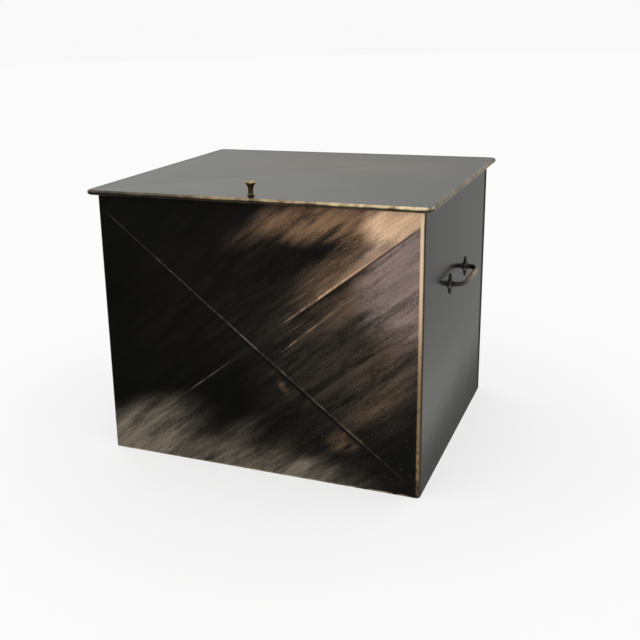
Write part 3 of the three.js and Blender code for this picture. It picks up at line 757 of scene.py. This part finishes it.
def cornerWall(name, node, outside, crossBroken, turn):
    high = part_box(node)[1]
    radius, hemRadius = pick(wallSheet, "bendRadius", "hemRadius")
    half = high.x - radius
    top = high.z - hemRadius
    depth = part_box("back_panel")[1].y  # half the box's
    bm = bmesh.new()
    plate(bm, 2 * half, top)
    moveVerts(bm, bm.verts, 0, top / 2, 0)
    if crossBroken:
        height = creaseTop - creaseLow
        crossBreak(bm, 2 * creaseX, height, wallSheet["ridgeHeight"], creaseLow + height / 2)
    turnVerts(bm, bm.verts, "X", radians(90))
    for way in (-1, 1):
        edges = edgesWhere(bm, lambda point: abs(point.x - way * half) < touch)
        edges = bend(bm, edges, (way * half, radius, 0), (0, 0, 1), 90 * way, wallSheet["bendSteps"])
        edges = extrudeEdges(bm, edges, 0, wallSheet["land"], 0)
        inwards, run = wallSheet["joggle"]
        edges = extrudeEdges(bm, edges, -way * inwards, run, 0)
        extrudeEdges(bm, edges, 0, wallSheet["lap"], 0)
    edges = edgesWhere(bm, lambda point: abs(point.x) < half + touch and abs(point.y) < touch
                       and point.z > top - touch)
    edges = bend(bm, edges, (0, hemRadius, top), (1, 0, 0), -180, wallSheet["hemSteps"])
    extrudeEdges(bm, edges, 0, 0, hemRadius - wallSheet["hemHeight"])
    thicken(bm, wallSheet["thickness"])
    softenEdges(bm, wallSheet["cutEdge"])
    moveVerts(bm, bm.verts, 0, -depth, 0)
    turnVerts(bm, bm.verts, "Z", radians(turn))
    finishPiece(bm, name, "box", [node], [outside, insideBlack], sharp=20)


cornerWall("front_sheet", "front_panel", frontLacquer, True, 0)
cornerWall("back_sheet", "back_panel", wallLacquer, False, 180)
print("walls made")

# Lid: a cross-broken plate whose edge is rolled into a half-round rim
lidSheet = {
    "thickness": 1.0 * mm,
    "corner": 9 * mm,
    "cornerSteps": 8,
    "rimRadius": 3.1 * mm,
    "rimSteps": 7,
    "rimReturn": 5 * mm,
    "slit": 1.5 * mm,  # from the top face to the rim's turned-in edge
    "creaseInset": 10 * mm,
    "ridgeHeight": 0.25 * mm,
    "cutEdge": 0.15 * mm,
}


def makeLid():
    low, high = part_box("lid_panel")
    top = low.z + 2 * lidSheet["rimRadius"]
    width, depth = high.x - low.x, high.y - low.y
    bm = bmesh.new()
    plate(bm, width, depth)
    roundOff(bm, bm.verts[:], lidSheet["corner"], lidSheet["cornerSteps"], affect="VERTICES")
    outline = [edge for edge in bm.edges if edge.is_boundary]
    topEdges = outline[:]
    lowEdges = extrudeEdges(bm, outline, 0, 0, -2 * lidSheet["rimRadius"])
    floor = bmesh.ops.contextual_create(bm, geom=lowEdges)["faces"]
    bmesh.ops.inset_region(bm, faces=floor, thickness=lidSheet["rimReturn"], use_even_offset=True)
    bmesh.ops.delete(bm, geom=floor, context="FACES_ONLY")
    bmesh.ops.recalc_face_normals(bm, faces=bm.faces[:])
    roundOff(bm, topEdges + lowEdges, lidSheet["rimRadius"] - 0.005 * mm, lidSheet["rimSteps"])
    inner = [edge for edge in bm.edges if edge.is_boundary]
    extrudeEdges(bm, inner, 0, 0, 2 * lidSheet["rimRadius"] - lidSheet["slit"])
    inset = lidSheet["creaseInset"]
    onTop = [face for face in bm.faces if face.calc_center_median().z > -0.001 * mm]
    crossBreak(bm, width - 2 * inset, depth - 2 * inset, lidSheet["ridgeHeight"])
    bmesh.ops.recalc_face_normals(bm, faces=bm.faces[:])
    if max(bm.faces, key=lambda face: face.calc_area()).normal.z < 0:
        bmesh.ops.reverse_faces(bm, faces=bm.faces[:])
    thicken(bm, lidSheet["thickness"])
    softenEdges(bm, lidSheet["cutEdge"])
    moveVerts(bm, bm.verts, 0, 0, top)
    finishPiece(bm, "lid_sheet", "lid", ["lid_panel"], [lidLacquer, insideBlack], sharp=20)


makeLid()
print("lid made")

# Turned pieces: an outline of radius and height, spun about Z
def arcOf(radius, height, middle, fromAngle, toAngle, steps):  # a quarter or so of an ellipse, in degrees
    angles = [radians(fromAngle + (toAngle - fromAngle) * i / steps) for i in range(steps + 1)]
    return [(middle[0] + radius * cos(angle), middle[1] + height * sin(angle)) for angle in angles]


def turned(bm, outline, steps):
    tip = bmesh.ops.create_vert(bm, co=(outline[0][0], 0, outline[0][1]))["vert"]
    for radius, height in outline[1:]:
        tip = bmesh.ops.extrude_vert_indiv(bm, verts=tip)["verts"]
        tip[0].co = (radius, 0, height)
    bmesh.ops.spin(bm, geom=bm.verts[:] + bm.edges[:], cent=(0, 0, 0), axis=(0, 0, 1), angle=2 * pi,
                   steps=steps, use_merge=True)
    bmesh.ops.remove_doubles(bm, verts=bm.verts, dist=weld)
    bmesh.ops.recalc_face_normals(bm, faces=bm.faces[:])


def stand(bm, place, axis="Z", angle=0):  # turns what was drawn at the origin and puts it in place
    turnVerts(bm, bm.verts, axis, radians(angle))
    moveVerts(bm, bm.verts, *place)


knobTurning = {
    "steps": 40,
    "foot": 4.4 * mm,
    "footRound": 0.3 * mm,
    "footEdge": 0.7 * mm,
    "neck": 3.0 * mm,  # height of the hollow between foot and stem
    "stem": 2.9 * mm,
    "stemTop": 6.2 * mm,  # where it starts to flare
    "flare": (2.3, 9),  # how late the flare opens, and its steps
    "lip": 1.3 * mm,
    "lipRound": 0.35 * mm,
    "dome": 0.9 * mm,
}


def makeKnob():
    low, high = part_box("knob")
    foot, footRound, neck, stem = pick(knobTurning, "foot", "footRound", "neck", "stem")
    stemTop, lip, lipRound, dome = pick(knobTurning, "stemTop", "lip", "lipRound", "dome")
    head, top = (high.x - low.x) / 2, high.z - low.z
    lipMiddle = top - dome - lip / 2
    late, flareSteps = knobTurning["flare"]
    outline = [(0, 0)]
    outline += arcOf(footRound, footRound, (foot - footRound, footRound), -90, 0, 3)
    outline += arcOf(foot - stem, neck, (foot, knobTurning["footEdge"] + neck), 270, 180, 8)
    for i in range(flareSteps + 1):
        share = i / flareSteps
        reach = stem + (head - lipRound - stem) * share ** late
        outline.append((reach, stemTop + (lipMiddle - lip / 2 - stemTop) * share))
    outline += arcOf(lipRound, lip / 2, (head - lipRound, lipMiddle), -60, 75, 6)
    outline += arcOf(head - dome, dome, (0, top - dome), 30, 90, 6)
    bm = bmesh.new()
    turned(bm, outline, knobTurning["steps"])
    stand(bm, ((low.x + high.x) / 2, (low.y + high.y) / 2, low.z))
    finishPiece(bm, "knob_turned", "lid", ["knob"], [knobBrass], sharp=50)


rivetForm = {
    "steps": 24,
    "headHeight": 0.9 * mm,
    "shank": 0.55,  # its radius, as a share of the head's
    "tail": 0.3 * mm,  # how much smaller the closing head is
}


def makeRivet(node, body, turn):
    low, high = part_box(node)
    radius, length = (high.x - low.x) / 2, high.y - low.y
    rise, shank = rivetForm["headHeight"], rivetForm["shank"] * radius
    tail = radius - rivetForm["tail"]
    outline = [(0, 0), (0.6 * tail, 0), (0.92 * tail, 0.4 * rise), (tail, rise)]
    outline += [(shank, rise), (shank, length - rise)]
    outline += arcOf(radius, rise, (0, length - rise), 0, 90, 7)
    bm = bmesh.new()
    turned(bm, outline, rivetForm["steps"])
    moveVerts(bm, bm.verts, 0, 0, -length / 2)
    stand(bm, (low + high) / 2, "X", turn)
    finishPiece(bm, node + "_domed", body, [node], [rivetBrass], sharp=40)


makeKnob()
for side in ("left", "right"):
    for number in (1, 2, 3):
        makeRivet(f"{side}_hinge_body_rivet_{number}", "box", -90)
        makeRivet(f"{side}_hinge_lid_rivet_{number}", "lid", 90)
print("knob and rivets made")

# Handles: a bowed bar on two four-pointed stars
starForm = {
    "waist": 6.2 * mm,  # from the middle to the hollow between two points
    "hollow": 1.7,  # how deeply the sides curve in
    "plate": 2.0 * mm,
    "edge": 0.8 * mm,  # thickness at the outline, from where the face rises to the boss
    "boss": 5.2 * mm,
    "segments": 96,
}
gripForm = {
    "bendOut": 12 * mm,
    "bendRun": 24 * mm,
    "bendSteps": 14,
    "sides": 24,
    "studRadius": 2 * mm,  # of the studs through the wall, thinner than the bar
    "shoulder": 2 * mm,  # where the bar begins, out from the wall
}


def ringAt(edges, reachAt, height):  # places a ring of edges about Z, at a radius for each direction
    for vert in vertsOf(edges):
        direction = vert.co.xy.normalized()
        vert.co = (*(direction * reachAt(direction)), height)


def makeStar(node, outward):
    low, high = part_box(node)
    tip, thick = (high.y - low.y) / 2, high.x - low.x
    waist, boss, plateTop, edge = pick(starForm, "waist", "boss", "plate", "edge")

    def outline(direction):
        lean = 1 - min(abs(direction.x), abs(direction.y)) / max(abs(direction.x), abs(direction.y))
        return waist + (tip - waist) * lean ** starForm["hollow"]

    def within(share):  # between the round boss and the outline
        return lambda direction: boss + (outline(direction) - boss) * share

    def disc(radius):
        return lambda direction: radius

    bm = bmesh.new()
    bmesh.ops.create_circle(bm, cap_ends=False, segments=starForm["segments"], radius=tip)
    edges = bm.edges[:]
    ringAt(edges, outline, 0)
    rings = [  # the outline and the height of each
        (outline, edge),
        (within(0.94), edge + 0.25 * mm),
        (within(0.5), plateTop - 0.3 * mm),
        (within(0.0), plateTop),
        (disc(boss - 0.15 * mm), plateTop + 0.45 * (thick - plateTop)),
        (disc(boss - 0.45 * mm), thick - 0.3 * mm),
        (disc(boss - 0.9 * mm), thick),
        (disc(0.2 * boss), thick),
    ]
    back = edges
    for reachAt, height in rings:
        edges = extrudeEdges(bm, edges, 0, 0, 0)
        ringAt(edges, reachAt, height)
    bmesh.ops.edgeloop_fill(bm, edges=edges)
    bmesh.ops.edgeloop_fill(bm, edges=back)
    bmesh.ops.recalc_face_normals(bm, faces=bm.faces[:])
    backX = low.x if outward > 0 else high.x
    stand(bm, (backX, (low.y + high.y) / 2, (low.z + high.z) / 2), "Y", 90 * outward)
    finishPiece(bm, node + "_plate", "box", [node], [handleBlack], sharp=35)


def gripPath(reach, start, half):  # one end's leg and bend in X and Y, mirrored to make the other
    legEnd = reach - gripForm["bendOut"]
    first, middle, last = (legEnd, -half), (reach, -half), (reach, gripForm["bendRun"] - half)
    points = [Vector((start, -half, 0))]
    for i in range(gripForm["bendSteps"] + 1):
        share = i / gripForm["bendSteps"]
        weights = ((1 - share) ** 2, 2 * share * (1 - share), share ** 2)
        points.append(Vector([sum(weight * point[k] for weight, point in zip(weights, (first, middle, last)))
                              for k in (0, 1)] + [0]))
    return points + [Vector((point.x, -point.y, 0)) for point in reversed(points)]


def makeGrip(side, outward):
    node = side + "_handle_grip"
    low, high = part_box(node)
    starLow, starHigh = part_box(side + "_handle_rear_star")
    near, far = (low.x, high.x) if outward > 0 else (high.x, low.x)
    radius = (high.z - low.z) / 2
    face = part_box(side + "_panel")[1].x if outward > 0 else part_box(side + "_panel")[0].x
    reach, inside = abs(far - face) - radius, -abs(near - face)
    half = (starLow.y + starHigh.y) / 2
    shoulder = gripForm["shoulder"]
    path = [Vector((inside, -half, 0))] + gripPath(reach, shoulder, half) + [Vector((inside, half, 0))]
    bm = bmesh.new()
    bmesh.ops.create_circle(bm, cap_ends=True, segments=gripForm["sides"], radius=radius,
                            matrix=Matrix.Translation(path[0]) @ Matrix.Rotation(radians(90), 4, "Y"))
    edges = bm.edges[:]
    heading = 0.0
    for i in range(1, len(path)):
        edges = extrudeEdges(bm, edges, *(path[i] - path[i - 1]))
        ahead = path[min(i + 1, len(path) - 1)] - path[i - 1]
        newHeading = atan2(ahead.y, ahead.x)
        turnVerts(bm, vertsOf(edges), "Z", newHeading - heading, path[i])
        heading = newHeading
    bmesh.ops.edgeloop_fill(bm, edges=edges)
    for vert in bm.verts:
        if vert.co.x < shoulder / 2:
            end = Vector((vert.co.x, half if vert.co.y > 0 else -half, 0))
            vert.co = end + (vert.co - end) * gripForm["studRadius"] / radius
    bmesh.ops.recalc_face_normals(bm, faces=bm.faces[:])
    stand(bm, (face, 0, (low.z + high.z) / 2), "Z", 0 if outward > 0 else 180)
    finishPiece(bm, node + "_bar", "box", [node], [gripBlack], sharp=40)


for side, outward in (("right", 1), ("left", -1)):
    makeGrip(side, outward)
    for end in ("front", "rear"):
        makeStar(f"{side}_handle_{end}_star", outward)
print("handles made")

# Sheet and fittings that keep their CAD shape, with their edges broken
softened = {
    "left_panel": ("box", "wall_lacquer", wallLacquer, wallSheet["cutEdge"]),
    "right_panel": ("box", "wall_lacquer", wallLacquer, wallSheet["cutEdge"]),
    "base_panel": ("box", "base_black", insideBlack, wallSheet["cutEdge"]),
}
for side in ("left", "right"):
    softened[side + "_hinge_body_leaf"] = ("box", "hinge_black", hingeBlack, 0.2 * mm)
    softened[side + "_hinge_lid_leaf"] = ("lid", "hinge_black", hingeBlack, 0.2 * mm)
    softened[side + "_hinge_pin"] = ("box", "plain_steel", plainSteel, 0.2 * mm)
    for end in ("front", "rear"):
        softened[f"{side}_handle_{end}_nut"] = ("box", "plain_steel", plainSteel, 0.3 * mm)
        softened[f"{side}_handle_{end}_washer"] = ("box", "plain_steel", plainSteel, 0.12 * mm)
softened["knob_washer"] = ("lid", "plain_steel", plainSteel, 0.1 * mm)
softened["knob_screw"] = ("lid", "plain_steel", plainSteel, 0.25 * mm)


def softCopy(node, body, material, width):
    bm = bmesh.new()
    bm.from_mesh(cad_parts[node].data)
    bmesh.ops.remove_doubles(bm, verts=bm.verts, dist=weld)
    bmesh.ops.dissolve_limit(bm, angle_limit=radians(1), verts=bm.verts[:], edges=bm.edges[:])
    softenEdges(bm, width, above=35)
    if material is wallLacquer:  # the inside is painted plain
        for face in bm.faces:
            inward = face.normal.x * face.calc_center_median().x < 0
            face.material_index = 1 if inward else 0
    finishPiece(bm, node + "_softened", body, [node], [material, insideBlack], sharp=32)


for node, (body, slot, material, width) in softened.items():
    softCopy(node, body, material, width)
print("sheet and fittings softened")

# Floor and light
studio = {
    "floor": (14, 0.3 * mm),  # radius, and how far below the box
    "pale": 0.942,  # the ground behind everything
    "soft": 1.0,  # light from all round
    "floorColour": 0.34,
    "floorGlow": 0.63,  # keeps the floor pale beside the dark box
    # A dark flag in front and to the left, only for reflections: direction, inner and outer degrees, level
    "flag": ((-0.65, -0.6, -0.45), 14, 62, 0.02),
    # How bright reflections are that go steeply down, level, up and higher up, and the rise of their
    # direction (0 level, 1 straight up) over which each passes into the next
    "gloss": (0.66, 0.42, 0.384, 0.696),
    "glossRises": ((-0.47, -0.28), (-0.12, 0.12), (0.1, 0.24)),
    "glossAcross": ((-0.75, 0.1), (1.36, 0.84)),  # the upper ones, from the left to the middle
    "glossTint": (1.0, 1.0, 0.955, 1),
}


def makeFloor():
    bm = bmesh.new()
    radius, below = studio["floor"]
    bmesh.ops.create_circle(bm, cap_ends=True, segments=96, radius=radius)
    moveVerts(bm, bm.verts, 0, 0, -below)
    mesh = bpy.data.meshes.new("floor")
    bm.to_mesh(mesh)
    bm.free()
    material, tree, shader, where = newMaterial("pale floor", 0.0)
    grain = noise(tree, where, 3.0, 2.0)
    level = studio["floorColour"]
    warmer = (level * 0.99, level * 0.99, level * 0.985, 1)
    fill(tree, shader, Base_Color=blend(tree, grain, (level, level, level, 1), warmer), Roughness=0.9,
         Emission_Color=(1, 1, 1, 1), Emission_Strength=studio["floorGlow"])
    mesh.materials.append(material)
    floor = bpy.data.objects.new("floor", mesh)
    floor.visible_glossy = False
    scene.collection.objects.link(floor)


def makeWorld():
    world = bpy.data.worlds.new("studio")
    scene.world = world
    world.use_nodes = True
    tree = world.node_tree
    tree.nodes.clear()
    toward = calcVector(tree, "NORMALIZE", add(tree, "TexCoord").outputs["Generated"])
    direction, inner, outer, dark = studio["flag"]
    near = add(tree, "VectorMath", operation="DOT_PRODUCT", i0=toward, i1=Vector(direction).normalized())
    clear = fade(tree, near.outputs["Value"], cos(radians(inner)), cos(radians(outer)), dark, 1.0)
    way = parts(tree, toward)
    rise = way["Z"]
    down, level, up, high = studio["gloss"]
    first, second, third = studio["glossRises"]
    below = fade(tree, rise, *first, down, level)
    span, levels = studio["glossAcross"]
    over = times(tree, fade(tree, rise, *third, up, high), fade(tree, way["X"], *span, *levels))
    gloss = between(tree, fade(tree, rise, *second), below, over)
    level = times(tree, clear, gloss)
    path = add(tree, "LightPath").outputs
    level = between(tree, path["Is Diffuse Ray"], level, studio["soft"])
    level = between(tree, path["Is Camera Ray"], level, studio["pale"])
    tint = blend(tree, path["Is Glossy Ray"], (1, 1, 1, 1), studio["glossTint"])
    ground = add(tree, "Background", Color=tint, Strength=level)
    add(tree, "OutputWorld", Surface=ground.outputs[0])


lamps = {  # place, aim, size, watts, colour
    "front key": ((-0.9, -2.2, 1.5), (0, -0.18, 0.2), 1.4, 3, (1.0, 0.96, 0.9)),
    "overhead": ((0.1, 0.3, 2.4), (0, 0, 0.2), 2.2, 3, (1.0, 1.0, 1.0)),
}


def makeLamps():
    for name, (place, aim, width, watts, colour) in lamps.items():
        data = bpy.data.lights.new(name, "AREA")
        data.size = width
        data.energy = watts
        data.color = colour
        lamp = bpy.data.objects.new(name, data)
        lamp.location = place
        lamp.rotation_euler = (Vector(aim) - Vector(place)).to_track_quat("-Z", "Y").to_euler()
        lamp.visible_camera = False
        scene.collection.objects.link(lamp)


makeFloor()
makeWorld()
makeLamps()
print("studio ready")
